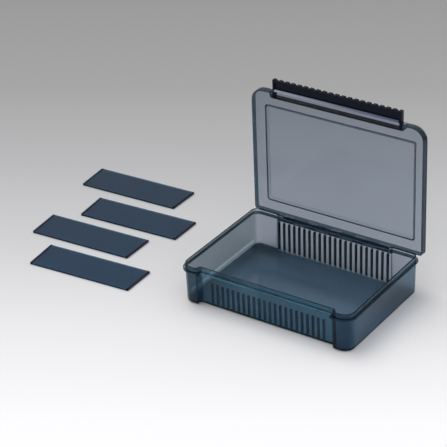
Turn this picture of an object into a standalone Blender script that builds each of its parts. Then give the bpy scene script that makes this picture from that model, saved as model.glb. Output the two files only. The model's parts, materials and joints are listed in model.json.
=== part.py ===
"""Lure box: a smoke tub with ribbed long walls, a hinged lid with a snap latch, and four loose dividers."""

import math

import bpy
from mathutils import Matrix

# Sizes are in metres. +X runs along the box, +Y goes to the hinge side, +Z is up.
# The origin is the middle of the tub's underside.

# Plan of the box at the tub's flange
BOX_WIDTH = 0.205
BOX_DEPTH = 0.145
FRONT_POST_WIDTH = 0.0249
FRONT_CORNER_SHARE = 0.582
BACK_POST_WIDTH = 0.036
BACK_CORNER_RADIUS = 0.011
LID_BACK_CORNER_RADIUS = 0.004
RECESS_DEPTH = 0.0053
BACK_RECESS_DEPTH = 0.0026
POST_EDGE_RADIUS = 0.0032
STEP_CORNER_RADIUS = 0.0008
LEAST_RADIUS = 0.0004
POST_EDGE_SHARE = 0.38
STEP_CORNER_SHARE = 0.52
CORNER_STEPS = 7
STEP_STEPS = 3

# Tub
FLOOR_THICKNESS = 0.0018
WALL_THICKNESS = 0.0016
OUTER_DRAFT = 0.0006
INNER_DRAFT = 0.0008
BOTTOM_ROUND = 0.0025
FLOOR_FILLET = 0.0016
ROUND_STEPS = 4
FLANGE_TOP = 0.0388
FLANGE_THICKNESS = 0.002
FLANGE_OVERHANG = 0.0024
LIP_HEIGHT = 0.0047
EDGE_BREAK = 0.0003

# Ribs inside the long walls, which the dividers stand between; their row is as long as the back recess
RIB_COUNT = 22
RIB_WIDTH = 0.0026
RIB_TIP_SHARE = 0.72
RIB_DEPTH = 0.0025
RIB_TOP_SLOPE = 0.0012
BACK_RIB_TOP = 0.037
FRONT_RIB_TOP = 0.027

# Lid, as it lies on the tub
PARTING_GAP = 0.0003
SKIRT_SET_IN = 0.0003
SKIRT_THICKNESS = 0.0016
LID_INNER_DEPTH = 0.0054
LID_PLATE_THICKNESS = 0.0015
LID_EDGE_ROUND = 0.0007
PANEL_RISE = 0.0032
PANEL_SIDE_MARGIN = 0.0125
PANEL_BACK_MARGIN = 0.0115
PANEL_FRONT_MARGIN = 0.019
PANEL_CORNER_RADIUS = 0.0037
PANEL_SLOPE = 0.0014

# Hinge
KNUCKLE_COUNT = 9
KNUCKLE_RADIUS = 0.0023
KNUCKLE_GAP = 0.0004
NOTCH_SIDE_ROOM = 0.0003
NOTCH_ROUND_ROOM = 0.0004
HINGE_END_GAP = 0.001
HINGE_SET_BACK = 0.0002
HINGE_LEAF_THICKNESS = 0.0017
HINGE_PIN_RADIUS = 0.001
LID_BORE_CLEARANCE = 0.00008
TUB_BORE_CLEARANCE = 0.00003
ROUND_SIDES = 24

# Latch, measured from its pins: down the front and outwards when shut
LATCH_SIDE_ROOM = 0.0016
LATCH_REACH = 0.017
LATCH_SHELL = 0.0029
LATCH_EYE_RADIUS = 0.002
LATCH_LEG_WIDTH = 0.0026
LATCH_LEG_DEPTH = 0.0016
LATCH_BAR_BACK = 0.0003
LATCH_HOOK_HEIGHT = 0.0019
LATCH_HOOK_GRIP = 0.0013
LATCH_GRIP_BAND = 0.0032
LATCH_LEG_PROUD = 0.0002
HOOK_TIP_SHARE = 0.6
EYE_STEPS = 6
LATCH_RUNNING_GAP = 0.0004
LATCH_END_GAP = 0.0003
SCALLOP_COUNT = 20
SCALLOP_ROW_SHARE = 0.93
SCALLOP_WIDTH_SHARE = 0.46
SCALLOP_DEPTH = 0.0015
SCALLOP_STEPS = 6
LATCH_PIN_RADIUS = 0.0009
LATCH_BORE_CLEARANCE = 0.00008
CHEEK_BORE_CLEARANCE = 0.00003
CHEEK_BOSS_RADIUS = 0.0021
CHEEK_WEB_WIDTH = 0.0022
PIN_IN_EYE_SHARE = 0.88

# Dividers
DIVIDER_END_CLEARANCE = 0.0004
DIVIDER_TAPER = 0.0017
DIVIDER_TOP_CLEARANCE = 0.0005
DIVIDER_THICKNESS = 0.0013
DIVIDER_BEAD_THICKNESS = 0.0022
DIVIDER_BEAD_WIDTH = 0.002
DIVIDER_CORNER_RADIUS = 0.0008
# Where each divider lies on the ground, as shares of the box's width and depth, and its turn in degrees
DIVIDER_PLACE_SHARES = ((-1.383, 0.699), (-1.179, 0.305), (-1.287, -0.098), (-1.090, -0.470))
DIVIDER_TURNS = (2.7, 3.6, 3.3, 4.0)

# How far pieces that are made as one reach into each other, and how far a cutter runs past a wall
BITE = 0.0008
CLEARANCE = 0.0003
CUTTER_OVERRUN = 0.001

# Sizes that follow from those above
HALF_WIDTH = BOX_WIDTH / 2
HALF_DEPTH = BOX_DEPTH / 2
FRONT_CORNER_RADIUS = FRONT_POST_WIDTH * FRONT_CORNER_SHARE
FRONT_RECESS_WIDTH = BOX_WIDTH - 2 * FRONT_POST_WIDTH
BACK_RECESS_WIDTH = BOX_WIDTH - 2 * BACK_POST_WIDTH
RIB_PITCH = BACK_RECESS_WIDTH / (RIB_COUNT - 1)
LATCH_LENGTH = FRONT_RECESS_WIDTH - 2 * LATCH_SIDE_ROOM
SCALLOP_PITCH = LATCH_LENGTH * SCALLOP_ROW_SHARE / (SCALLOP_COUNT - 1)
SCALLOP_WIDTH = SCALLOP_PITCH * SCALLOP_WIDTH_SHARE
WALL_INSET = FLANGE_OVERHANG
INNER_INSET = FLANGE_OVERHANG + WALL_THICKNESS
LIP_TOP = FLANGE_TOP + LIP_HEIGHT
FRONT_INNER_WALL = HALF_DEPTH - RECESS_DEPTH - INNER_INSET
BACK_INNER_WALL = HALF_DEPTH - BACK_RECESS_DEPTH - INNER_INSET
LID_EDGE = FLANGE_TOP + PARTING_GAP
LID_CEILING = LID_EDGE + LID_INNER_DEPTH
LID_TOP = LID_CEILING + LID_PLATE_THICKNESS
PANEL_TOP = LID_TOP + PANEL_RISE
HINGE_Y = HALF_DEPTH + HINGE_SET_BACK
HINGE_Z = FLANGE_TOP + PARTING_GAP / 2
HINGE_HALF_LENGTH = BACK_RECESS_WIDTH / 2 - HINGE_END_GAP
LATCH_HALF = LATCH_LENGTH / 2
RECESS_SKIRT_Y = -HALF_DEPTH + RECESS_DEPTH + SKIRT_SET_IN
LATCH_Y = RECESS_SKIRT_Y - LATCH_RUNNING_GAP - LATCH_EYE_RADIUS
LATCH_Z = LID_CEILING - PARTING_GAP - LATCH_SHELL
LATCH_HOOK_TOP = LATCH_Z - (FLANGE_TOP - FLANGE_THICKNESS) + CLEARANCE
LATCH_HOOK_REACH = -HALF_DEPTH + RECESS_DEPTH + LATCH_HOOK_GRIP - LATCH_Y
LATCH_BORE_RADIUS = LATCH_PIN_RADIUS + LATCH_BORE_CLEARANCE
CHEEK_BORE_RADIUS = LATCH_PIN_RADIUS + CHEEK_BORE_CLEARANCE
CHEEK_INNER_X = LATCH_HALF + LATCH_END_GAP
STEP_WALL_X = FRONT_RECESS_WIDTH / 2 + SKIRT_SET_IN
DIVIDER_LENGTH = FRONT_INNER_WALL + BACK_INNER_WALL - 2 * DIVIDER_END_CLEARANCE
DIVIDER_HEIGHT = LID_CEILING - FLOOR_THICKNESS - DIVIDER_TOP_CLEARANCE

OPEN_TURN = math.radians(-90)
SHARP_ANGLE = math.radians(32)

SMOKE_COLOUR = (0.105, 0.165, 0.215)
DIVIDER_COLOUR = (0.040, 0.070, 0.100)
LATCH_COLOUR = (0.004, 0.005, 0.009)
STEEL_COLOUR = (0.16, 0.165, 0.175)


def clear_scene():
    for thing in list(bpy.data.objects):
        bpy.data.objects.remove(thing, do_unlink=True)


def plastic(name, colour, roughness, metallic=0.0, alpha=1.0):
    """A Principled surface of one colour."""
    material = bpy.data.materials.new(name)
    material.use_nodes = True
    shader = material.node_tree.nodes["Principled BSDF"]
    shader.inputs["Base Color"].default_value = (*colour, 1.0)
    shader.inputs["Roughness"].default_value = roughness
    shader.inputs["Metallic"].default_value = metallic
    shader.inputs["Alpha"].default_value = alpha
    return material


def mesh_object(name, points, faces, material=None):
    mesh = bpy.data.meshes.new(name)
    mesh.from_pydata(points, [], faces)
    mesh.update()
    made = bpy.data.objects.new(name, mesh)
    bpy.context.scene.collection.objects.link(made)
    if material is not None:
        mesh.materials.append(material)
    return made


def loft(name, rings, material=None):
    """A closed body through rings of equal count, each running counter-clockwise seen from its far end."""
    count = len(rings[0])
    points = [point for ring in rings for point in ring]
    faces = [tuple(reversed(range(count)))]
    for level in range(len(rings) - 1):
        low = level * count
        high = low + count
        for at in range(count):
            following = (at + 1) % count
            faces.append((low + at, low + following, high + following, high + at))
    faces.append(tuple(range(high, high + count)))
    return mesh_object(name, points, faces, material)


def flat_ring(plan, height):
    return [(x, y, height) for x, y in plan]


def along_x(profile, x):
    """A profile of (y, z) points at one place along the box."""
    return [(x, y, z) for y, z in profile]


def turns_left(profile):
    """Whether a closed profile runs counter-clockwise."""
    area = 0
    for at, (x, y) in enumerate(profile):
        last_x, last_y = profile[at - 1]
        area += last_x * y - x * last_y
    return area > 0


def bar_along_x(name, profile, start, end):
    if not turns_left(profile):
        profile = list(reversed(profile))
    return loft(name, [along_x(profile, start), along_x(profile, end)])


def circle(centre_y, centre_z, radius, sides=ROUND_SIDES):
    turns = [2 * math.pi * step / sides for step in range(sides)]
    return [(centre_y + radius * math.cos(turn), centre_z + radius * math.sin(turn)) for turn in turns]


def block(name, low, high):
    """A box between two opposite corners."""
    plan = [(low[0], low[1]), (high[0], low[1]), (high[0], high[1]), (low[0], high[1])]
    return loft(name, [flat_ring(plan, low[2]), flat_ring(plan, high[2])])


def merge(name, parts):
    """Bodies that do not touch, made into one mesh."""
    points = []
    faces = []
    for part in parts:
        first = len(points)
        points.extend(tuple(vertex.co) for vertex in part.data.vertices)
        faces.extend(tuple(first + at for at in face.vertices) for face in part.data.polygons)
        bpy.data.objects.remove(part, do_unlink=True)
    return mesh_object(name, points, faces)


def combine(body, tool, operation):
    """Joins the tool to the body or takes it away, and leaves one plain mesh."""
    modifier = body.modifiers.new(tool.name, "BOOLEAN")
    modifier.operation = operation
    modifier.solver = "EXACT"
    modifier.object = tool
    graph = bpy.context.evaluated_depsgraph_get()
    finished = bpy.data.meshes.new_from_object(body.evaluated_get(graph))
    materials = list(body.data.materials)
    body.modifiers.clear()
    body.data = finished
    finished.materials.clear()
    for material in materials:
        finished.materials.append(material)
    for face in finished.polygons:
        face.material_index = 0
    bpy.data.objects.remove(tool, do_unlink=True)


def finish(body):
    body.data.shade_smooth()
    body.data.set_sharp_from_angle(angle=SHARP_ANGLE)
    return body


def put_axis_at(body, x, y, z, turn):
    """Moves the body's origin onto an axis, and turns it about that axis."""
    body.data.transform(Matrix.Translation((-x, -y, -z)))
    body.location = (x, y, z)
    body.rotation_euler = (turn, 0, 0)


def opened(y, z):
    """Where a point of the shut lid is when the lid stands open."""
    along = y - HINGE_Y
    above = z - HINGE_Z
    turned_y = along * math.cos(OPEN_TURN) - above * math.sin(OPEN_TURN)
    turned_z = along * math.sin(OPEN_TURN) + above * math.cos(OPEN_TURN)
    return HINGE_Y + turned_y, HINGE_Z + turned_z


def rounded_corner(corner, before, after, radius, steps):
    """Points of a quarter round between two square edges, for a turn either way."""
    centre_x = corner[0] - before[0] * radius + after[0] * radius
    centre_y = corner[1] - before[1] * radius + after[1] * radius
    points = []
    for step in range(steps + 1):
        turn = math.pi / 2 * step / steps
        x = centre_x - after[0] * radius * math.cos(turn) + before[0] * radius * math.sin(turn)
        y = centre_y - after[1] * radius * math.cos(turn) + before[1] * radius * math.sin(turn)
        points.append((x, y))
    return points


def rounded_plan(corners):
    """A plan of square corners, each (x, y, radius, steps), run counter-clockwise."""
    points = []
    for at, (x, y, radius, steps) in enumerate(corners):
        last = corners[at - 1]
        following = corners[(at + 1) % len(corners)]
        before = unit(x - last[0], y - last[1])
        after = unit(following[0] - x, following[1] - y)
        points.extend(rounded_corner((x, y), before, after, radius, steps))
    return points


def unit(x, y):
    length = math.hypot(x, y)
    return x / length, y / length


def recess_corners(inset, half, y, depth):
    """One long side's recess, from its left post to its right post; y is the side's place."""
    ends = half + inset
    inner_y = y - math.copysign(depth, y)
    post = min(max(POST_EDGE_RADIUS - inset, LEAST_RADIUS), depth * POST_EDGE_SHARE)
    step = min(STEP_CORNER_RADIUS + inset, depth * STEP_CORNER_SHARE)
    return [
        (-ends, y, post, STEP_STEPS),
        (-ends, inner_y, step, STEP_STEPS),
        (ends, inner_y, step, STEP_STEPS),
        (ends, y, post, STEP_STEPS),
    ]


def front_corners(inset):
    """The plan's front side: its two corners, and the recess that the latch stands in."""
    x = HALF_WIDTH - inset
    y = -HALF_DEPTH + inset
    radius = max(FRONT_CORNER_RADIUS - inset, LEAST_RADIUS)
    recess = recess_corners(inset, FRONT_RECESS_WIDTH / 2, y, RECESS_DEPTH)
    return [(-x, y, radius, CORNER_STEPS), *recess, (x, y, radius, CORNER_STEPS)]


def outline(inset):
    """The tub's plan with its front and back recess, moved inwards by the inset."""
    x = HALF_WIDTH - inset
    y = HALF_DEPTH - inset
    radius = max(BACK_CORNER_RADIUS - inset, LEAST_RADIUS)
    recess = recess_corners(inset, BACK_RECESS_WIDTH / 2, y, BACK_RECESS_DEPTH)
    back = [(x, y, radius, CORNER_STEPS), *reversed(recess), (-x, y, radius, CORNER_STEPS)]
    return rounded_plan(front_corners(inset) + back)


def skirt_outline(inset):
    """The lid's plan: the tub's front side, and a straight back."""
    x = HALF_WIDTH - inset
    y = HALF_DEPTH - inset
    radius = max(LID_BACK_CORNER_RADIUS - inset, LEAST_RADIUS)
    back = [(x, y, radius, CORNER_STEPS), (-x, y, radius, CORNER_STEPS)]
    return rounded_plan(front_corners(inset) + back)


def plate_plan(low, high, front_radius, back_radius, steps=CORNER_STEPS):
    """A rectangle with one radius at its front corners and one at its back corners."""
    return rounded_plan(
        (
            (low[0], low[1], front_radius, steps),
            (high[0], low[1], front_radius, steps),
            (high[0], high[1], back_radius, steps),
            (low[0], high[1], back_radius, steps),
        )
    )


def quarter_round(radius, steps=ROUND_STEPS):
    """(sideways, up) shares of a rounded edge, from its flat foot to its upright side."""
    turns = [math.pi / 2 * step / steps for step in range(steps + 1)]
    return [(radius * (1 - math.sin(turn)), radius * (1 - math.cos(turn))) for turn in turns]


def tub_shell(material):
    """Floor, drafted walls, flange and lip, as one skin from the underside round to the inner floor."""
    outer_foot = WALL_INSET + OUTER_DRAFT
    inner_foot = INNER_INSET + INNER_DRAFT
    flange_low = FLANGE_TOP - FLANGE_THICKNESS
    levels = [(outer_foot + side, up) for side, up in quarter_round(BOTTOM_ROUND)]
    levels += [
        (WALL_INSET, flange_low),
        (EDGE_BREAK, flange_low),
        (0, flange_low + EDGE_BREAK),
        (0, FLANGE_TOP - EDGE_BREAK),
        (EDGE_BREAK, FLANGE_TOP),
        (WALL_INSET, FLANGE_TOP),
        (WALL_INSET, LIP_TOP - EDGE_BREAK),
        (WALL_INSET + EDGE_BREAK, LIP_TOP),
        (INNER_INSET - EDGE_BREAK, LIP_TOP),
        (INNER_INSET, LIP_TOP - EDGE_BREAK),
    ]
    fillet = quarter_round(FLOOR_FILLET)
    levels += [(inner_foot + side, FLOOR_THICKNESS + up) for side, up in reversed(fillet)]
    return loft("tub", [flat_ring(outline(inset), height) for inset, height in levels], material)


def rib(name, x, top, side):
    """One upright rib on the inner face of a long wall; side is 1 at the back, -1 at the front."""
    wall = BACK_INNER_WALL if side > 0 else FRONT_INNER_WALL
    root = side * (wall + BITE)
    tip = side * (wall - RIB_DEPTH)
    wide = RIB_WIDTH / 2
    narrow = wide * RIB_TIP_SHARE
    plan = [(x - wide, root), (x - narrow, tip), (x + narrow, tip), (x + wide, root)]
    if side < 0:
        plan.reverse()
    heights = [top, top - RIB_TOP_SLOPE, top - RIB_TOP_SLOPE, top]
    foot = flat_ring(plan, FLOOR_THICKNESS - BITE)
    head = [(*point, height) for point, height in zip(plan, heights)]
    return loft(name, [foot, head])


def rib_row(name, top, side):
    middle = (RIB_COUNT - 1) / 2
    places = [(at - middle) * RIB_PITCH for at in range(RIB_COUNT)]
    return merge(name, [rib(f"{name}_{at}", x, top, side) for at, x in enumerate(places)])


def knuckle_profile(root_y, low, high):
    """A barrel round the hinge axis with its leaf; low and high are the leaf's faces above the axis."""
    start = math.pi - math.asin(low / KNUCKLE_RADIUS)
    end = 3 * math.pi - math.asin(high / KNUCKLE_RADIUS)
    profile = [(root_y, HINGE_Z + low)]
    for step in range(ROUND_SIDES + 1):
        turn = start + (end - start) * step / ROUND_SIDES
        y = HINGE_Y + KNUCKLE_RADIUS * math.cos(turn)
        z = HINGE_Z + KNUCKLE_RADIUS * math.sin(turn)
        profile.append((y, z))
    profile.append((root_y, HINGE_Z + high))
    return profile


def knuckles(name, profile, first, side_room=0):
    """Every second knuckle of the hinge from the given place on, each made longer by the room at its sides."""
    pitch = 2 * HINGE_HALF_LENGTH / KNUCKLE_COUNT
    parts = []
    for at in range(first, KNUCKLE_COUNT, 2):
        start = -HINGE_HALF_LENGTH + at * pitch + KNUCKLE_GAP / 2
        end = start + pitch - KNUCKLE_GAP
        parts.append(bar_along_x(f"{name}_{at}", profile, start - side_room, end + side_room))
    return merge(name, parts)


def hinge_bore(name, clearance):
    profile = circle(HINGE_Y, HINGE_Z, HINGE_PIN_RADIUS + clearance)
    return bar_along_x(name, profile, -HINGE_HALF_LENGTH, HINGE_HALF_LENGTH)


def tub_knuckles():
    root = HALF_DEPTH - BACK_RECESS_DEPTH - BITE
    low = FLANGE_TOP - FLANGE_THICKNESS + EDGE_BREAK - HINGE_Z
    return knuckles("tub_knuckles", knuckle_profile(root, low, low + HINGE_LEAF_THICKNESS - EDGE_BREAK), 0)


def lid_knuckles():
    """Plain barrels that stand in the skirt's lower edge."""
    return knuckles("lid_knuckles", circle(HINGE_Y, HINGE_Z, KNUCKLE_RADIUS), 1)


def knuckle_notches():
    """Room in the lid's skirt for the tub's knuckles."""
    notch = circle(HINGE_Y, HINGE_Z, KNUCKLE_RADIUS + NOTCH_ROUND_ROOM)
    return knuckles("knuckle_notches", notch, 0, NOTCH_SIDE_ROOM)


def make_tub(material):
    tub = tub_shell(material)
    combine(tub, rib_row("back_ribs", BACK_RIB_TOP, 1), "UNION")
    combine(tub, rib_row("front_ribs", FRONT_RIB_TOP, -1), "UNION")
    combine(tub, tub_knuckles(), "UNION")
    combine(tub, hinge_bore("tub_bore", TUB_BORE_CLEARANCE), "DIFFERENCE")
    return finish(tub)


def lid_plate(material):
    """The lid's flat top, which runs on over both recesses."""
    def level(inset, height):
        low = (-HALF_WIDTH + inset, -HALF_DEPTH + inset)
        high = (HALF_WIDTH - inset, HALF_DEPTH - inset)
        plan = plate_plan(low, high, FRONT_CORNER_RADIUS - inset, LID_BACK_CORNER_RADIUS - inset)
        return flat_ring(plan, height)

    rings = [level(EDGE_BREAK, LID_CEILING), level(0, LID_CEILING + EDGE_BREAK)]
    for side, up in reversed(quarter_round(LID_EDGE_ROUND)):
        rings.append(level(side, LID_TOP - up))
    return loft("lid", rings, material)


def lid_skirt():
    """The wall that drops over the tub's lip, and follows the recess at the front."""
    outer = SKIRT_SET_IN
    inner = SKIRT_SET_IN + SKIRT_THICKNESS
    buried = LID_CEILING + LID_PLATE_THICKNESS / 2

    def level(inset, height):
        return flat_ring(skirt_outline(inset), height)

    skirt = loft(
        "lid_skirt",
        [level(outer + EDGE_BREAK, LID_EDGE), level(outer, LID_EDGE + EDGE_BREAK), level(outer, buried)],
    )
    hollow = loft(
        "lid_skirt_hollow",
        [level(inner, LID_EDGE - CUTTER_OVERRUN), level(inner, buried + CUTTER_OVERRUN)],
    )
    combine(skirt, hollow, "DIFFERENCE")
    return skirt


def panel_block(name, low_z, high_z, grow):
    """The stacking panel's body; grow moves its sides outwards."""
    def level(inset, height):
        low = (-HALF_WIDTH + PANEL_SIDE_MARGIN + inset, -HALF_DEPTH + PANEL_FRONT_MARGIN + inset)
        high = (HALF_WIDTH - PANEL_SIDE_MARGIN - inset, HALF_DEPTH - PANEL_BACK_MARGIN - inset)
        radius = max(PANEL_CORNER_RADIUS - inset, LEAST_RADIUS)
        return flat_ring(plate_plan(low, high, radius, radius), height)

    rings = [level(-grow, low_z), level(PANEL_SLOPE - grow, high_z - EDGE_BREAK)]
    rings.append(level(PANEL_SLOPE + EDGE_BREAK - grow, high_z))
    return loft(name, rings)


def cheek(side):
    """The boss and web that carry one latch pin, beside the step of the skirt."""
    inner = side * CHEEK_INNER_X
    outer = side * (STEP_WALL_X + BITE)
    start, end = min(inner, outer), max(inner, outer)
    boss = bar_along_x("cheek_boss", circle(LATCH_Y, LATCH_Z, CHEEK_BOSS_RADIUS), start, end)
    half = CHEEK_WEB_WIDTH / 2
    low = (start + side * EDGE_BREAK / 2, LATCH_Y - half, LATCH_Z)
    high = (end + side * EDGE_BREAK / 2, LATCH_Y + half, LID_CEILING + BITE)
    web = block("cheek_web", low, high)
    combine(boss, web, "UNION")
    return boss


def cheek_bore(side):
    start = side * (CHEEK_INNER_X - CUTTER_OVERRUN)
    end = side * (STEP_WALL_X + SKIRT_THICKNESS + CUTTER_OVERRUN)
    return bar_along_x(
        "cheek_bore",
        circle(LATCH_Y, LATCH_Z, CHEEK_BORE_RADIUS),
        min(start, end),
        max(start, end),
    )


def make_lid(material):
    lid = lid_plate(material)
    middle = LID_CEILING + LID_PLATE_THICKNESS / 2
    combine(lid, lid_skirt(), "UNION")
    combine(lid, panel_block("panel", middle, PANEL_TOP, 0), "UNION")
    hollow_top = PANEL_TOP - LID_PLATE_THICKNESS
    combine(lid, panel_block("panel_hollow", LID_CEILING - CUTTER_OVERRUN, hollow_top, -SKIRT_THICKNESS), "DIFFERENCE")
    combine(lid, knuckle_notches(), "DIFFERENCE")
    combine(lid, lid_knuckles(), "UNION")
    combine(lid, hinge_bore("lid_bore", LID_BORE_CLEARANCE), "DIFFERENCE")
    for side in (-1, 1):
        combine(lid, cheek(side), "UNION")
        combine(lid, cheek_bore(side), "DIFFERENCE")
    put_axis_at(lid, 0, HINGE_Y, HINGE_Z, OPEN_TURN)
    return finish(lid)


def scallop_edge(half):
    """The latch's free edge: teeth with a round scallop between each two, as (x, reach) points."""
    reach = LATCH_REACH - LATCH_LEG_PROUD
    points = [(-half, reach)]
    first = -SCALLOP_PITCH * (SCALLOP_COUNT - 1) / 2
    for at in range(SCALLOP_COUNT):
        middle = first + at * SCALLOP_PITCH
        for step in range(SCALLOP_STEPS + 1):
            turn = math.pi * step / SCALLOP_STEPS
            x = middle - SCALLOP_WIDTH / 2 * math.cos(turn)
            points.append((x, reach - SCALLOP_DEPTH * math.sin(turn)))
    points.append((half, reach))
    return points


def latch_leg(name, start, end):
    """An end leg: a round eye on the pin, running into a flat leg as far as the free edge."""
    tip = LATCH_Z - LATCH_REACH
    quarter = math.pi / 2
    first = -math.acos(LATCH_LEG_DEPTH / LATCH_EYE_RADIUS)
    profile = [(LATCH_Y + LATCH_LEG_DEPTH, tip)]
    for step in range(EYE_STEPS + 1):
        turn = first + (quarter - first) * step / EYE_STEPS
        profile.append(eye_point(turn, LATCH_EYE_RADIUS))
    for step in range(1, EYE_STEPS + 1):
        share = step / EYE_STEPS
        radius = LATCH_EYE_RADIUS + (LATCH_SHELL - LATCH_EYE_RADIUS) * share
        profile.append(eye_point(quarter + quarter * share, radius))
    profile.append((LATCH_Y - LATCH_SHELL, tip))
    return bar_along_x(name, profile, start, end)


def eye_point(turn, radius):
    return LATCH_Y + radius * math.cos(turn), LATCH_Z + radius * math.sin(turn)


def latch_bar(material):
    """The grip bar: a plate with a scalloped free edge, hollowed on its inner face."""
    top = LATCH_Z - LATCH_HOOK_TOP - EDGE_BREAK
    half = LATCH_HALF - LATCH_LEG_WIDTH / 2
    plan = [(x, LATCH_Z - reach) for x, reach in scallop_edge(half)]
    plan += [(half, top), (-half, top)]
    front = LATCH_Y - LATCH_SHELL + LATCH_LEG_PROUD
    back = LATCH_Y + LATCH_LEG_DEPTH - LATCH_LEG_PROUD
    bar = loft("latch", [[(x, y, z) for x, z in plan] for y in (back, front)], material)
    inside = LATCH_HALF - LATCH_LEG_WIDTH
    pocket_low = LATCH_Z - LATCH_REACH + LATCH_GRIP_BAND
    pocket_high = LATCH_Z - LATCH_HOOK_TOP - LATCH_HOOK_HEIGHT
    pocket = block(
        "latch_pocket",
        (-inside, LATCH_Y + LATCH_BAR_BACK, pocket_low),
        (inside, back + CUTTER_OVERRUN, pocket_high),
    )
    combine(bar, pocket, "DIFFERENCE")
    return bar


def latch_hook():
    """The rib along the bar that grips under the tub's flange."""
    top = LATCH_Z - LATCH_HOOK_TOP
    reach = LATCH_Y + LATCH_HOOK_REACH
    foot = top - LATCH_HOOK_HEIGHT
    tip = top - LATCH_HOOK_HEIGHT * HOOK_TIP_SHARE
    profile = [(LATCH_Y, foot), (reach, tip), (reach, top), (LATCH_Y, top)]
    half = LATCH_HALF - LATCH_LEG_WIDTH + BITE
    return bar_along_x("latch_hook", profile, -half, half)


def make_latch(material):
    """The latch is made shut, then swung out flat with the open lid."""
    latch = latch_bar(material)
    combine(latch, latch_hook(), "UNION")
    for side in (-1, 1):
        inner = side * (LATCH_HALF - LATCH_LEG_WIDTH)
        outer = side * LATCH_HALF
        combine(latch, latch_leg("latch_leg", min(inner, outer), max(inner, outer)), "UNION")
    reach = LATCH_HALF + CUTTER_OVERRUN
    bore = bar_along_x("latch_bore", circle(LATCH_Y, LATCH_Z, LATCH_BORE_RADIUS), -reach, reach)
    combine(latch, bore, "DIFFERENCE")
    put_axis_at(latch, 0, LATCH_Y, LATCH_Z, 2 * OPEN_TURN)
    latch.location = (0, *opened(LATCH_Y, LATCH_Z))
    return finish(latch)


def make_hinge_pin(material):
    half = HINGE_HALF_LENGTH - KNUCKLE_GAP
    pin = bar_along_x("hinge_pin", circle(0, 0, HINGE_PIN_RADIUS), -half, half)
    pin.data.materials.append(material)
    pin.location = (0, HINGE_Y, HINGE_Z)
    return finish(pin)


def make_latch_pin(name, side, material):
    """A short pin from inside the latch's eye to the inner face of the lid's step wall."""
    start = side * (LATCH_HALF - LATCH_LEG_WIDTH * PIN_IN_EYE_SHARE)
    end = side * (STEP_WALL_X + SKIRT_THICKNESS - CLEARANCE)
    profile = circle(0, 0, LATCH_PIN_RADIUS)
    pin = bar_along_x(name, profile, min(start, end), max(start, end))
    pin.data.materials.append(material)
    pin.location = (0, *opened(LATCH_Y, LATCH_Z))
    return finish(pin)


def divider_plan(inset, overrun):
    """The divider's outline, longer at its top edge; the inset moves its slanted ends inwards."""
    top = DIVIDER_LENGTH / 2 - inset
    foot = top - DIVIDER_TAPER
    lean = DIVIDER_TAPER / DIVIDER_HEIGHT * overrun
    high = DIVIDER_HEIGHT / 2 + overrun
    return [(-foot + lean, -high), (foot - lean, -high), (top + lean, high), (-top - lean, high)]


def softened(plan, radius):
    """A four-cornered plan with each corner cut by a short flat."""
    points = []
    for at, (x, y) in enumerate(plan):
        for other in (plan[at - 1], plan[(at + 1) % len(plan)]):
            along_x_share, along_y_share = unit(other[0] - x, other[1] - y)
            points.append((x + along_x_share * radius, y + along_y_share * radius))
    return points


def make_divider(name, place_share, degrees, material):
    """A loose divider lying on the ground: a thin plate with a thicker bead at each end."""
    plan = softened(divider_plan(0, 0), DIVIDER_CORNER_RADIUS)
    soft = softened(divider_plan(EDGE_BREAK, -EDGE_BREAK), DIVIDER_CORNER_RADIUS)
    high = DIVIDER_BEAD_THICKNESS
    levels = [(soft, 0), (plan, EDGE_BREAK), (plan, high - EDGE_BREAK), (soft, high)]
    divider = loft(name, [flat_ring(shape, height) for shape, height in levels], material)
    step = (DIVIDER_BEAD_THICKNESS - DIVIDER_THICKNESS) / 2
    pocket = divider_plan(DIVIDER_BEAD_WIDTH, CUTTER_OVERRUN)
    for low, top in ((-CUTTER_OVERRUN, step), (high - step, high + CUTTER_OVERRUN)):
        cutter = loft("divider_pocket", [flat_ring(pocket, low), flat_ring(pocket, top)])
        combine(divider, cutter, "DIFFERENCE")
    divider.location = (BOX_WIDTH * place_share[0], BOX_DEPTH * place_share[1], 0)
    divider.rotation_euler = (0, 0, math.radians(degrees))
    return finish(divider)


def main():
    clear_scene()
    smoke = plastic("smoke_plastic", SMOKE_COLOUR, 0.12, alpha=0.55)
    divider_plastic = plastic("divider_plastic", DIVIDER_COLOUR, 0.3)
    latch_plastic = plastic("latch_plastic", LATCH_COLOUR, 0.25)
    steel = plastic("steel", STEEL_COLOUR, 0.3, metallic=1.0)
    make_tub(smoke)
    make_lid(smoke)
    make_latch(latch_plastic)
    make_hinge_pin(steel)
    make_latch_pin("latch_pin_left", -1, steel)
    make_latch_pin("latch_pin_right", 1, steel)
    for at, place_share in enumerate(DIVIDER_PLACE_SHARES):
        make_divider(f"divider_{at + 1}", place_share, DIVIDER_TURNS[at], divider_plastic)


main()
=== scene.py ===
"""Looks of a smoke-clear lure box: an open ribbed tub, its lid with a snap latch, and four loose dividers.

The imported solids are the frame. This script dresses them, lays the floor, sets the lights and places the
camera. Lengths are in metres. +X runs along the box, +Y goes to the hinge side, and +Z is up.
"""

from __future__ import annotations

import json
import logging
import math
from dataclasses import dataclass
from enum import Enum
from typing import Any, Mapping, Sequence, Union

import bpy
from mathutils import Matrix, Vector

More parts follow.
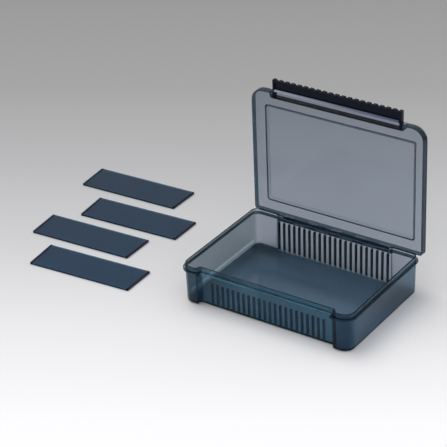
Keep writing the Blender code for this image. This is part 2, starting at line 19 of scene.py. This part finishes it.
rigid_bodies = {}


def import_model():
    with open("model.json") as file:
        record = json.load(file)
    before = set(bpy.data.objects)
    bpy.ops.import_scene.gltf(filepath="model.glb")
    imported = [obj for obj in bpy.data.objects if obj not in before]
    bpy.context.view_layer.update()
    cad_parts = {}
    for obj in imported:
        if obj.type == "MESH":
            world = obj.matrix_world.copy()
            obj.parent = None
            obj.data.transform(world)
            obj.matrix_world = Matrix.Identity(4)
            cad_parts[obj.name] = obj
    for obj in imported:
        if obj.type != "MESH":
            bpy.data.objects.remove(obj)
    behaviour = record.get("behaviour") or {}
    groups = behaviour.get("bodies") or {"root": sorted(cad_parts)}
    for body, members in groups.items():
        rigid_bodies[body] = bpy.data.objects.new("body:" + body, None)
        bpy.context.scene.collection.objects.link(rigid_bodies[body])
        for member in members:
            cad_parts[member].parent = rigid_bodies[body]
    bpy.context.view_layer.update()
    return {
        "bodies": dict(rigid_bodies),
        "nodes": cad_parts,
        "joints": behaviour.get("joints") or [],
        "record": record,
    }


log = logging.getLogger("lure_box")

Rgb = tuple[float, float, float]
Point = tuple[float, float, float]
Span = tuple[float, float]
Feed = Union["Signal", float, int, Sequence[float]]

X_AXIS: Point = (1.0, 0.0, 0.0)
Y_AXIS: Point = (0.0, 1.0, 0.0)
Z_AXIS: Point = (0.0, 0.0, 1.0)

# A region's side without a limit, and the width of a limit that looks sharp.
FREE = math.inf
SHARP = 0.0001

# Noise runs from 0 to 1 and wanders about this value.
NOISE_MIDDLE = 0.5

# The standard curve between screen values and light values.
SCREEN_TOP = 255
CURVE_KNEE = 0.04045
CURVE_FOOT = 12.92
CURVE_SHIFT = 0.055
CURVE_POWER = 2.4

# The Mix node has a set of sockets for each kind of data. These are the numbers of those for colours.
MIX_SHARE = 0
MIX_OFF = 6
MIX_ON = 7
MIX_RESULT = 2


def light_value(screen: int) -> float:
    """Turns one screen value of 0 to 255 into a light value of 0 to 1."""
    share = screen / SCREEN_TOP
    if share <= CURVE_KNEE:
        return share / CURVE_FOOT
    return ((share + CURVE_SHIFT) / (1 + CURVE_SHIFT)) ** CURVE_POWER


def linear(red: int, green: int, blue: int) -> Rgb:
    """Turns a colour in screen values of 0 to 255 into light values.

    Args:
        red: Screen value of red.
        green: Screen value of green.
        blue: Screen value of blue.

    Returns:
        The colour in light values of 0 to 1.
    """
    return light_value(red), light_value(green), light_value(blue)


class Operation(Enum):
    """What a Math node or a Vector Math node does with its inputs."""

    ADD = "ADD"
    SUBTRACT = "SUBTRACT"
    MULTIPLY = "MULTIPLY"
    DIVIDE = "DIVIDE"
    SIZE = "ABSOLUTE"
    DOT = "DOT_PRODUCT"


def is_number(value: Feed) -> bool:
    """Whether an input is one number, and not a colour or a vector."""
    return value.socket.type == "VALUE" if isinstance(value, Signal) else isinstance(value, (int, float))


class Signal:
    """One output of a shader node, with arithmetic that adds nodes to its graph."""

    def __init__(self, graph: Graph, socket: bpy.types.NodeSocket) -> None:
        """Keeps the graph and the socket.

        Args:
            graph: The graph that holds the node.
            socket: The node's output socket.
        """
        self.graph = graph
        self.socket = socket

    def _number(self, operation: Operation, *values: Feed) -> Signal:
        """Adds a Math node.

        Args:
            operation: What it does.
            values: Its inputs in order.

        Returns:
            The node's result.
        """
        return self.graph.add("ShaderNodeMath", {"operation": operation.value}, dict(enumerate(values)))

    def _vector(self, operation: Operation, *values: Feed, output: str = "Vector") -> Signal:
        """Adds a Vector Math node.

        Args:
            operation: What it does.
            values: Its inputs in order; a plain number fills all three parts.
            output: The name of the output to read.

        Returns:
            The node's result.
        """
        filled = [(value,) * 3 if isinstance(value, (int, float)) else value for value in values]
        settings = {"operation": operation.value}
        return self.graph.add("ShaderNodeVectorMath", settings, dict(enumerate(filled)), output)

    def _pair(self, operation: Operation, first: Feed, second: Feed) -> Signal:
        """Adds a Math node for two numbers, and a Vector Math node where either is a colour or a vector.

        Args:
            operation: What the node does, which both kinds know.
            first: The first input.
            second: The second input.

        Returns:
            The node's result.
        """
        join = self._number if is_number(first) and is_number(second) else self._vector
        return join(operation, first, second)

    def __add__(self, other: Feed) -> Signal:
        """Sum."""
        return self._pair(Operation.ADD, self, other)

    def __radd__(self, other: Feed) -> Signal:
        """Sum, the other way round."""
        return self._pair(Operation.ADD, other, self)

    def __sub__(self, other: Feed) -> Signal:
        """Difference."""
        return self._pair(Operation.SUBTRACT, self, other)

    def __rsub__(self, other: Feed) -> Signal:
        """Difference, the other way round."""
        return self._pair(Operation.SUBTRACT, other, self)

    def __mul__(self, other: Feed) -> Signal:
        """Product."""
        return self._pair(Operation.MULTIPLY, self, other)

    def __rmul__(self, other: Feed) -> Signal:
        """Product, the other way round."""
        return self._pair(Operation.MULTIPLY, other, self)

    def __truediv__(self, other: Feed) -> Signal:
        """Quotient."""
        return self._pair(Operation.DIVIDE, self, other)

    def __rtruediv__(self, other: Feed) -> Signal:
        """Quotient, the other way round."""
        return self._pair(Operation.DIVIDE, other, self)

    def size(self) -> Signal:
        """The absolute value of a number."""
        return self._number(Operation.SIZE, self)

    def dot(self, other: Feed) -> Signal:
        """The dot product of two vectors."""
        return self._vector(Operation.DOT, self, other, output="Value")

    def ramp(self, low: float, high: float) -> Signal:
        """Runs smoothly from 0 at one value to 1 at another.

        Args:
            low: Value that gives 0; it may be the greater of the two.
            high: Value that gives 1.

        Returns:
            A number from 0 to 1.
        """
        settings = {"interpolation_type": "SMOOTHSTEP", "clamp": True}
        values = {"Value": self, "From Min": low, "From Max": high}
        return self.graph.add("ShaderNodeMapRange", settings, values, "Result")

    def blend(self, off: Feed, on: Feed) -> Signal:
        """Mixes two colours, with this number as the share of the second.

        Args:
            off: Colour at 0.
            on: Colour at 1.

        Returns:
            The mixed colour.
        """
        settings = {"data_type": "RGBA", "clamp_factor": True}
        first, second = ((*colour, 1.0) if isinstance(colour, tuple) else colour for colour in (off, on))
        values = {MIX_SHARE: self, MIX_OFF: first, MIX_ON: second}
        return self.graph.add("ShaderNodeMix", settings, values, MIX_RESULT)


class Graph:
    """The node tree of one material or of the world."""

    def __init__(self, owner: Union[bpy.types.Material, bpy.types.World]) -> None:
        """Clears the owner's node tree.

        Args:
            owner: Material or world whose tree is written.
        """
        owner.use_nodes = True
        self.tree = owner.node_tree
        self.tree.nodes.clear()

    def add(
        self,
        kind: str,
        settings: Mapping[str, Any] | None = None,
        values: Mapping[Union[str, int], Feed] | None = None,
        output: Union[str, int] = 0,
    ) -> Signal | None:
        """Adds one node: its settings first, then its input values and links.

        Args:
            kind: The node's type.
            settings: The node's own settings; "stops" are a ramp's (place, colour) pairs.
            values: Input sockets by name or number, with a plain value or a signal each.
            output: The output to read, by name or number.

        Returns:
            The chosen output, or None for a node that ends the tree.
        """
        node = self.tree.nodes.new(kind)
        for name, setting in (settings or {}).items():
            if name == "stops":
                self._set_stops(node.color_ramp, setting)
            else:
                setattr(node, name, setting)
        for name, value in (values or {}).items():
            socket = node.inputs[name]
            if isinstance(value, Signal):
                self.tree.links.new(value.socket, socket)
            else:
                socket.default_value = value
        return Signal(self, node.outputs[output]) if len(node.outputs) else None

    @staticmethod
    def _set_stops(ramp: bpy.types.ColorRamp, stops: Sequence[tuple[float, Rgb]]) -> None:
        """Gives a ramp its stops.

        Args:
            ramp: The ramp.
            stops: Place and colour of each stop, in rising order.
        """
        while len(ramp.elements) > 1:
            ramp.elements.remove(ramp.elements[-1])
        for number, (place, colour) in enumerate(stops):
            element = ramp.elements[0] if number == 0 else ramp.elements.new(place)
            element.position = place
            element.color = (*colour, 1.0)

    def place(self) -> Signal:
        """The point's place on the object, in metres."""
        return self.add("ShaderNodeTexCoord", output="Object")

    def world_place(self) -> Signal:
        """The point's place in the scene, in metres."""
        return self.add("ShaderNodeNewGeometry", output="Position")

    def facing(self, way: Point) -> Signal:
        """How squarely the surface lies across a way, from 0 to 1."""
        return self.add("ShaderNodeTexCoord", output="Normal").dot(way).size()

    def bump(self, height: Signal, strength: float, distance: float) -> Signal:
        """Turns a height into a tilt of the surface.

        Args:
            height: Height as a number from 0 to 1.
            strength: Share of the full tilt.
            distance: Depth of the full height, in metres.

        Returns:
            The tilted normal.
        """
        values = {"Height": height, "Strength": strength, "Distance": distance}
        return self.add("ShaderNodeBump", None, values, "Normal")

    def surface(self, values: Mapping[Union[str, int], Feed]) -> Signal:
        """A Principled surface with the given sockets."""
        return self.add("ShaderNodeBsdfPrincipled", None, values, "BSDF")

    def show(self, surface: Signal, volume: Signal | None = None) -> None:
        """Ends the material with its surface and, where it has one, its inside.

        Args:
            surface: The surface shader.
            volume: The volume shader.
        """
        ends = {"Surface": surface} if volume is None else {"Surface": surface, "Volume": volume}
        self.add("ShaderNodeOutputMaterial", None, ends)


@dataclass(frozen=True)
class Noise:
    """Soft noise that is read by the place on a piece.

    Attributes:
        per_metre: How many grains fit in a metre.
        detail: Number of finer layers.
        roughness: Strength of the finer layers.
        squeeze: Factors on the place; a small one draws the grains out along its axis.
        window: Values between which the noise rises from 0 to 1. Without it the noise stays as it is.
    """

    per_metre: float
    detail: float
    roughness: float = 0.55
    squeeze: Point | None = None
    window: Span | None = None

    def read(self, at: Signal) -> Signal:
        """Reads the noise.

        Args:
            at: The point's place on the object.

        Returns:
            A number from 0 to 1.
        """
        values = {
            "Vector": at if self.squeeze is None else at * self.squeeze,
            "Scale": self.per_metre,
            "Detail": self.detail,
            "Roughness": self.roughness,
        }
        noise = at.graph.add("ShaderNodeTexNoise", {"noise_dimensions": "3D"}, values, "Fac")
        return noise if self.window is None else noise.ramp(*self.window)


@dataclass(frozen=True)
class RibRow:
    """A row of ribs on a long wall, with a tint of their own.

    Attributes:
        tint: The ribs' tint, a painted shade for the dark stripes that the ribs show.
        side: 1 for the wall on the hinge side, and -1 for the one at the front.
        tip: How far out the ribs' inner faces are.
        root: How far out the wall begins.
        lean: How much farther out the wall is for each metre up.
        foot: Height at which the ribs begin.
        half_length: Half the length of the row.
        edge: Width of the change at each limit.
    """

    tint: Rgb
    side: float
    tip: float
    root: float
    lean: float = 0.02
    foot: float = 0.0034
    half_length: float = 0.0676
    edge: float = SHARP

    def found(self, at: Signal) -> Signal:
        """Finds the ribs by their place on the tub.

        Args:
            at: The point's place on the object.

        Returns:
            1 on the ribs, and 0 elsewhere.
        """
        out = at.dot((0.0, self.side, -self.lean))
        depth = out.ramp(self.tip - self.edge, self.tip) * out.ramp(self.root, self.root - self.edge)
        along = at.dot(X_AXIS).size()
        length = along.ramp(self.half_length, self.half_length - self.edge)
        height = at.dot(Z_AXIS).ramp(self.foot, self.foot + self.edge)
        return depth * length * height


@dataclass(frozen=True)
class Patch:
    """A box-shaped region of a moulding with a tint of its own, such as a ledge, a flange or a bead; the
    tint is often painted shade or a painted highlight.

    Attributes:
        tint: The region's tint.
        x: Limits along X; at least one of the three has a limit.
        y: Limits along Y.
        z: Limits along Z.
        fade: Width of the change at the limits along each axis.
    """

    tint: Rgb
    x: Span = (-FREE, FREE)
    y: Span = (-FREE, FREE)
    z: Span = (-FREE, FREE)
    fade: Point = (SHARP, SHARP, SHARP)

    def found(self, at: Signal) -> Signal:
        """Finds the region by its place on the moulding.

        Args:
            at: The point's place on the object.

        Returns:
            1 in the region, and 0 elsewhere.
        """
        inside: Feed = 1.0
        spans = (self.x, self.y, self.z)
        for axis, (low, high), fade in zip((X_AXIS, Y_AXIS, Z_AXIS), spans, self.fade):
            for limit, full in ((low, low + fade), (high, high - fade)):
                if math.isfinite(limit):
                    inside = inside * at.dot(axis).ramp(limit, full)
        return inside


@dataclass(frozen=True)
class SmokePlastic:
    """Clear moulded plastic with a smoke-blue tint that deepens with thickness.

    Attributes:
        name: Name of the material.
        flat_tint: Tint of the faces that lie across flat_way.
        wall_tint_and_shade: Tint of the other faces; where it is darker than the flat tint, as on the lid,
            it is painted shade on the walls and edges.
        flat_way: The way across which the flat faces lie.
        flat_window: How squarely a face lies across it where the flat tint begins, and where it is full.
        front_shade: Painted shade of the other faces, which darkens them toward the front; without it they
            have wall_tint_and_shade there too.
        front_reach: Distance from the middle to the front, and to the back, over which that painted shade
            runs.
        regions: Regions with a tint of their own, many of them painted shade or painted highlights; a
            later one covers an earlier one.
        clouds: Noise that makes the tint uneven.
        cloudiness: How uneven it is.
        inner_colour: Colour of the light that the inside lets through.
        density: Strength of that colour, per metre.
        refraction: Index of refraction.
        shine: Brightness of the highlights.
        polish: Roughness of a fresh face.
        handling: Noise of the worn spots.
        handling_haze: Roughness that they add.
        scratches: Noise of the fine scratches.
        scratch_haze: Roughness that they add.
        flow: Noise of the waves that the moulding leaves.
        flow_tilt: Share of the waves' full tilt.
        flow_depth: Depth of the waves.
    """

    name: str
    flat_tint: Rgb = (0.97, 0.98, 1.0)
    wall_tint_and_shade: Rgb = (0.97, 0.98, 1.0)
    flat_way: Point = Z_AXIS
    flat_window: Span = (0.35, 0.8)
    front_shade: Rgb | None = None
    front_reach: float = 0.075
    regions: tuple[Union[RibRow, Patch], ...] = ()
    clouds: Noise = Noise(per_metre=32.0, detail=3.0)
    cloudiness: float = 0.07
    inner_colour: Rgb = (0.063, 0.33, 0.4625)
    density: float = 400.0
    refraction: float = 1.49
    shine: float = 0.12
    polish: float = 0.035
    handling: Noise = Noise(
        per_metre=260.0, detail=4.0, roughness=0.6, squeeze=(1.0, 0.35, 1.0), window=(0.45, 0.8)
    )
    handling_haze: float = 0.05
    scratches: Noise = Noise(per_metre=2600.0, detail=2.0, squeeze=(0.06, 1.0, 0.5), window=(0.62, 0.74))
    scratch_haze: float = 0.06
    flow: Noise = Noise(per_metre=55.0, detail=2.0, roughness=0.4)
    flow_tilt: float = 0.35
    flow_depth: float = 0.00012

    def _tint(self, at: Signal) -> Signal:
        """Finds the tint, with its painted shade and highlights, by the way that a face looks and by its
        place.

        Args:
            at: The point's place on the object.

        Returns:
            The tint.
        """
        wall: Feed = self.wall_tint_and_shade
        # Painted shade: the walls darken from the back toward the front.
        if self.front_shade is not None:
            back = at.dot(Y_AXIS).ramp(-self.front_reach, self.front_reach)
            wall = back.blend(self.front_shade, self.wall_tint_and_shade)
        tint = at.graph.facing(self.flat_way).ramp(*self.flat_window).blend(wall, self.flat_tint)
        for region in self.regions:
            tint = region.found(at).blend(tint, region.tint)
        return tint * (1.0 + self.cloudiness * (self.clouds.read(at) - NOISE_MIDDLE))

    def material(self) -> bpy.types.Material:
        """Builds the material.

        Returns:
            The finished material.
        """
        made = bpy.data.materials.new(self.name)
        graph = Graph(made)
        at = graph.place()
        worn = self.handling_haze * self.handling.read(at)
        scratched = self.scratch_haze * self.scratches.read(at)
        surface = graph.surface(
            {
                "Base Color": self._tint(at),
                "Roughness": self.polish + worn + scratched,
                "IOR": self.refraction,
                "Transmission Weight": 1.0,
                "Specular Tint": (self.shine, self.shine, self.shine, 1.0),
                "Normal": graph.bump(self.flow.read(at), self.flow_tilt, self.flow_depth),
            }
        )
        inner = {"Color": (*self.inner_colour, 1.0), "Density": self.density}
        graph.show(surface, graph.add("ShaderNodeVolumeAbsorption", None, inner, "Volume"))
        return made


@dataclass(frozen=True)
class LatchPlastic:
    """Near-black glossy plastic with light scuffs, and a painted reflection along its hook: a pale tint
    that fades toward the right end.

    Attributes:
        name: Name of the material.
        sheen_patch: The hook's region, where a pale tint paints the sky's reflection in its sloped face;
            its tint is the one at the left end.
        sheen_right_end: Tint of the painted reflection at the right end.
        body: Tint of a fresh face.
        scuffed: Tint of the scuffs.
        refraction: Index of refraction.
        shine: Strength of the highlights.
        shine_tint: Tint of the highlights.
        gloss: Roughness of a fresh face.
        scuffs: Noise of the scuffs.
        scuff_haze: Roughness that they add.
        grain: Noise of the moulding's fine grain.
        grain_tilt: Share of the grain's full tilt.
        grain_depth: Depth of the grain.
    """

    name: str
    sheen_patch: Patch
    sheen_right_end: Rgb = (0.115, 0.145, 0.235)
    body: Rgb = (0.0035, 0.0045, 0.0090)
    scuffed: Rgb = (0.012, 0.014, 0.022)
    refraction: float = 1.5
    shine: float = 0.14
    shine_tint: Rgb = (0.55, 0.62, 1.0)
    gloss: float = 0.22
    scuffs: Noise = Noise(
        per_metre=520.0, detail=4.0, roughness=0.65, squeeze=(0.4, 1.0, 1.0), window=(0.58, 0.78)
    )
    scuff_haze: float = 0.2
    grain: Noise = Noise(per_metre=1900.0, detail=2.0)
    grain_tilt: float = 0.2
    grain_depth: float = 0.00005

    def material(self) -> bpy.types.Material:
        """Builds the material.

        Returns:
            The finished material.
        """
        made = bpy.data.materials.new(self.name)
        graph = Graph(made)
        at = graph.place()
        scuffs = self.scuffs.read(at)
        black = scuffs.blend(self.body, self.scuffed)
        # Painted reflection on the hook: pale at the left end, darker toward the right end.
        pale = at.dot(X_AXIS).ramp(*self.sheen_patch.x).blend(self.sheen_patch.tint, self.sheen_right_end)
        surface = graph.surface(
            {
                "Base Color": self.sheen_patch.found(at).blend(black, pale),
                "Roughness": self.gloss + self.scuff_haze * scuffs,
                "IOR": self.refraction,
                "Specular IOR Level": self.shine,
                "Specular Tint": (*self.shine_tint, 1.0),
                "Normal": graph.bump(self.grain.read(at), self.grain_tilt, self.grain_depth),
            }
        )
        graph.show(surface)
        return made


@dataclass(frozen=True)
class DrawnSteel:
    """Steel wire with fine drawing lines along it.

    Attributes:
        name: Name of the material.
        body: Tint of the bright steel.
        dull: Tint of the dull spots.
        spots: Noise of the dull spots.
        gloss: Roughness between the lines.
        lines: Noise of the drawing lines.
        line_haze: Roughness that they add.
        line_tilt: Share of the lines' full tilt.
        line_depth: Depth of the lines.
    """

    name: str
    body: Rgb = (0.16, 0.165, 0.175)
    dull: Rgb = (0.09, 0.095, 0.10)
    spots: Noise = Noise(per_metre=300.0, detail=3.0, window=(0.5, 0.75))
    gloss: float = 0.24
    lines: Noise = Noise(per_metre=9000.0, detail=2.0, squeeze=(0.02, 1.0, 1.0))
    line_haze: float = 0.14
    line_tilt: float = 0.3
    line_depth: float = 0.00002

    def material(self) -> bpy.types.Material:
        """Builds the material.

        Returns:
            The finished material.
        """
        made = bpy.data.materials.new(self.name)
        graph = Graph(made)
        at = graph.place()
        lines = self.lines.read(at)
        surface = graph.surface(
            {
                "Base Color": self.spots.read(at).blend(self.body, self.dull),
                "Metallic": 1.0,
                "Roughness": self.gloss + self.line_haze * lines,
                "Normal": graph.bump(lines, self.line_tilt, self.line_depth),
            }
        )
        graph.show(surface)
        return made


def dress(frame: Mapping[str, Any], node: str, finish: bpy.types.Material) -> None:
    """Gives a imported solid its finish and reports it.

    Args:
        frame: The loaded frame.
        node: Name of the solid.
        finish: Its material.
    """
    solid = frame["nodes"][node]
    if not solid.material_slots:
        solid.data.materials.append(finish)
    for slot in solid.material_slots:
        slot.material = finish
    log.info("dressed %s with %s", node, finish.name)


# The tub's end walls, between these distances from the middle, and the top of its floor.
END_WALL_INSIDE = 0.0972
END_WALL_OUTSIDE = 0.1004
FLOOR_TOP = 0.0020

TUB_REGIONS = (
    # The right wall, with a bluer tint: painted light for how light falls on that side.
    Patch(tint=(0.46, 0.69, 0.81), x=(END_WALL_INSIDE, END_WALL_OUTSIDE)),
    # The ribs on the hinge side, and those at the front, tinted dark: painted shade for the dark stripes
    # that the ribs show.
    RibRow(tint=(0.010, 0.018, 0.024), side=1.0, tip=0.0622, root=0.06495),
    RibRow(tint=(0.08, 0.12, 0.15), side=-1.0, tip=0.0595, root=0.06225),
    # The flange, darkened: painted shade for the dark line along it.
    Patch(tint=(0.26, 0.31, 0.36), z=(0.0367, 0.039)),
    # The front wall between the posts.
    Patch(tint=(0.75, 0.97, 1.0), x=(-0.0776, 0.0776), y=(-0.0685, -0.0623)),
    # The left wall, with a greyer, darker tint: painted shade for how light falls on that side; and a
    # painted highlight, a light line along its foot.
    Patch(tint=(0.60, 0.575, 0.59), x=(-END_WALL_OUTSIDE, -END_WALL_INSIDE)),
    Patch(
        tint=(1.0, 1.0, 1.0),
        x=(-END_WALL_OUTSIDE, -0.0965),
        y=(-0.058, 0.0625),
        z=(0.0030, 0.0078),
        fade=(SHARP, SHARP, 0.0012),
    ),
    # The floor, with painted shade that darkens it toward the hinge, and painted shade in its back-left
    # corner.
    Patch(
        tint=(0.74, 0.787, 0.867),
        y=(-0.020, FREE),
        z=(-FREE, FLOOR_TOP),
        fade=(SHARP, 0.070, SHARP),
    ),
    Patch(
        tint=(0.44, 0.50, 0.56),
        x=(-FREE, -0.045),
        y=(0.042, FREE),
        z=(-FREE, FLOOR_TOP),
        fade=(0.030, 0.018, SHARP),
    ),
    # The rim of the flange at the left, darkened: painted shade for the dark line along it.
    Patch(tint=(0.08, 0.11, 0.13), x=(-0.103, -END_WALL_OUTSIDE)),
)

# The lid is placed as it stands in the picture: open and upright, so that its flat faces look along Y.
LID_REGIONS = (
    # The outer face of the skirt at the right, darkened: painted shade for the dark line along that edge.
    Patch(tint=(0.006, 0.035, 0.05), x=(0.1009, 0.103)),
    # The skirt's free edge, kept light: a painted highlight along it.
    Patch(tint=(0.80, 0.86, 0.90), y=(0.0725, 0.0731)),
    # The step of the raised panel.
    Patch(tint=(0.76, 0.78, 0.83), y=(0.079, 0.084)),
    # The front ledge, against which the latch lies, darkened: painted shade under the latch.
    Patch(tint=(0.02, 0.03, 0.04), x=(-0.0766, 0.0766), z=(0.1767, 0.1788)),
)

# The latch's hook rib, where a pale tint paints the sky's reflection in its sloped face.
HOOK_SHEEN = Patch(tint=(0.36, 0.39, 0.49), x=(-0.0733, 0.0733), y=(-FREE, 0.0737), z=(0.1855, 0.1879))

# The beads at a divider's ends, darkened: painted shade along the ends.
BEADS = Patch(tint=(0.12, 0.15, 0.18), z=(0.0018, 0.0024))


@dataclass
class Box:
    """The box itself: tub and lid in smoke plastic."""

    tub_finish: SmokePlastic = SmokePlastic(
        name="smoke_tub_look",
        flat_tint=(0.89, 0.915, 0.965),
        wall_tint_and_shade=(0.86, 0.78, 0.82),
        # Painted shade that darkens the walls toward the front.
        front_shade=(0.37, 0.50, 0.59),
        regions=TUB_REGIONS,
    )
    lid_finish: SmokePlastic = SmokePlastic(
        name="smoke_lid_look",
        flat_tint=(0.76, 0.78, 0.83),
        # The lid's walls get a dark tint: painted shade for the dark lines along its edges.
        wall_tint_and_shade=(0.14, 0.21, 0.25),
        flat_way=Y_AXIS,
        regions=LID_REGIONS,
        inner_colour=(0.19, 0.325, 0.45),
    )

    def build(self, frame: Mapping[str, Any]) -> None:
        """Dresses tub and lid."""
        dress(frame, "tub", self.tub_finish.material())
        dress(frame, "lid", self.lid_finish.material())


@dataclass
class Latch:
    """The snap latch."""

    finish: LatchPlastic = LatchPlastic(name="latch_plastic_look", sheen_patch=HOOK_SHEEN)

    def build(self, frame: Mapping[str, Any]) -> None:
        """Dresses the latch."""
        dress(frame, "latch", self.finish.material())


@dataclass
class Pins:
    """The steel pins of hinge and latch."""

    finish: DrawnSteel = DrawnSteel(name="steel_look")

    def build(self, frame: Mapping[str, Any]) -> None:
        """Dresses the pins."""
        look = self.finish.material()
        for node in ("hinge_pin", "latch_pin_left", "latch_pin_right"):
            dress(frame, node, look)


@dataclass
class Dividers:
    """The four loose dividers."""

    count: int = 4
    finish: SmokePlastic = SmokePlastic(
        name="divider_plastic_look",
        regions=(BEADS,),
        inner_colour=(0.0, 0.43, 0.61),
        density=1500.0,
        polish=0.16,
    )

    def build(self, frame: Mapping[str, Any]) -> None:
        """Dresses the dividers."""
        look = self.finish.material()
        for number in range(1, self.count + 1):
            dress(frame, f"divider_{number}", look)


@dataclass
class Studio:
    """A plain floor with a painted falloff of light: its colour runs from grey at the back to white at the
    front, under soft light.

    Attributes:
        floor_reach: Distance from the middle to the floor's edges.
        floor_below: How far the floor lies below the box.
        gradient_axis: The way along which the painted falloff gets lighter.
        gradient_span: Distances along it at which the run begins and ends.
        floor_falloff_stops: Share of the run and colour of each stop of the painted falloff.
        horizon_air: Colour of the light from the side.
        zenith_air: Colour of the light from above.
        key_light: Strength of the key light.
        key_spread: How wide the key light looks, in degrees.
        key_from: The way from the box to the key light.
    """

    floor_reach: float = 6.0
    floor_below: float = 0.0002
    gradient_axis: Point = (0.5012, -0.8654, 0.0)
    gradient_span: Span = (-0.78, 0.30)
    floor_falloff_stops: tuple[tuple[float, Rgb], ...] = (
        (0.0, linear(153, 153, 153)),
        (0.26, linear(164, 164, 164)),
        (0.45, linear(184, 184, 185)),
        (0.62, linear(207, 207, 208)),
        (0.78, linear(234, 233, 234)),
        (0.93, linear(250, 249, 250)),
        (1.0, linear(253, 252, 253)),
    )
    horizon_air: Rgb = (0.34, 0.34, 0.345)
    zenith_air: Rgb = (0.94, 0.94, 0.95)
    key_light: float = 0.95
    key_spread: float = 42.0
    key_from: Point = (-0.45, 0.12, 1.0)

    def floor(self) -> None:
        """Lays the floor and paints on it the grey-to-white falloff of light."""
        reach = self.floor_reach
        corners = [(-reach, -reach), (reach, -reach), (reach, reach), (-reach, reach)]
        mesh = bpy.data.meshes.new("floor")
        mesh.from_pydata([(x, y, -self.floor_below) for x, y in corners], [], [(0, 1, 2, 3)])
        laid = bpy.data.objects.new("floor", mesh)
        bpy.context.scene.collection.objects.link(laid)
        made = bpy.data.materials.new("floor_painted_falloff")
        graph = Graph(made)
        start, end = self.gradient_span
        share = (graph.world_place().dot(self.gradient_axis) - start) / (end - start)
        colour = graph.add("ShaderNodeValToRGB", {"stops": self.floor_falloff_stops}, {"Fac": share}, "Color")
        graph.show(graph.add("ShaderNodeBsdfDiffuse", None, {"Color": colour}, "BSDF"))
        mesh.materials.append(made)
        log.info("laid the floor")

    def world(self) -> None:
        """Sets the plain light all round."""
        world = bpy.data.worlds.new("studio_air")
        bpy.context.scene.world = world
        graph = Graph(world)
        height = graph.add("ShaderNodeTexCoord", output="Generated").dot(Z_AXIS)
        colour = height.ramp(0.0, 1.0).blend(self.horizon_air, self.zenith_air)
        air = graph.add("ShaderNodeBackground", None, {"Color": colour}, "Background")
        graph.add("ShaderNodeOutputWorld", None, {"Surface": air})
        log.info("set the studio air")

    def key(self) -> None:
        """Hangs the one soft light, broad as an overcast window, above and to the left of the box."""
        lamp = bpy.data.lights.new("soft_key", "SUN")
        lamp.energy = self.key_light
        lamp.angle = math.radians(self.key_spread)
        hung = bpy.data.objects.new("soft_key", lamp)
        bpy.context.scene.collection.objects.link(hung)
        hung.rotation_euler = (-Vector(self.key_from)).to_track_quat("-Z", "Y").to_euler()
        log.info("hung the key light")

    def build(self) -> None:
        """Builds the floor and the lights."""
        self.floor()
        self.world()
        self.key()


@dataclass(frozen=True)
class Viewpoint:
    """The camera of the photograph, as fitted to the straight edges in it.

    Attributes:
        azimuth: Degrees by which the camera stands to the right of the box's front.
        elevation: Degrees by which it looks down.
        roll: Degrees by which it leans about the view.
        distance: Distance to the middle of the box's underside, along the view.
        aside: How far the camera is shifted to the right.
        above: How far it is shifted up.
        focal_pixels: Focal length in the photo's pixels.
        frame_pixels: Width of the photo in pixels.
        sensor: Width of the sensor, in millimetres.
        near: Nearest distance that is drawn.
        far: Farthest distance that is drawn.
    """

    azimuth: float = 35.179
    elevation: float = 29.486
    roll: float = -2.483
    distance: float = 1.89764
    aside: float = -0.07635
    above: float = 0.07754
    focal_pixels: float = 1834.67
    frame_pixels: float = 447.0
    sensor: float = 36.0
    near: float = 0.05
    far: float = 50.0

    def build(self) -> None:
        """Places the camera and makes it the scene's own."""
        turn = math.radians(self.azimuth)
        lift = math.radians(self.elevation)
        lean = math.radians(self.roll)
        back = Vector((math.sin(turn) * math.cos(lift), -math.cos(turn) * math.cos(lift), math.sin(lift)))
        right = Vector((math.cos(turn), math.sin(turn), 0.0))
        up = back.cross(right)
        lens = bpy.data.cameras.new("camera")
        lens.sensor_width = self.sensor
        lens.lens = self.sensor * self.focal_pixels / self.frame_pixels
        lens.clip_start = self.near
        lens.clip_end = self.far
        held = bpy.data.objects.new("camera", lens)
        bpy.context.scene.collection.objects.link(held)
        across = right * math.cos(lean) + up * math.sin(lean)
        upward = up * math.cos(lean) - right * math.sin(lean)
        axes = Matrix((across, upward, back)).transposed().to_4x4()
        spot = back * self.distance + right * self.aside + up * self.above
        held.matrix_world = Matrix.Translation(spot) @ axes
        bpy.context.scene.camera = held
        log.info("placed the camera")


def main() -> None:
    """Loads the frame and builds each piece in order."""
    logging.basicConfig(level=logging.INFO, format="%(name)s: %(message)s")
    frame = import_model()
    bpy.context.scene.view_settings.view_transform = "Standard"
    Viewpoint().build()
    Studio().build()
    Box().build(frame)
    Latch().build(frame)
    Pins().build(frame)
    Dividers().build(frame)


if __name__ == "__main__":
    main()
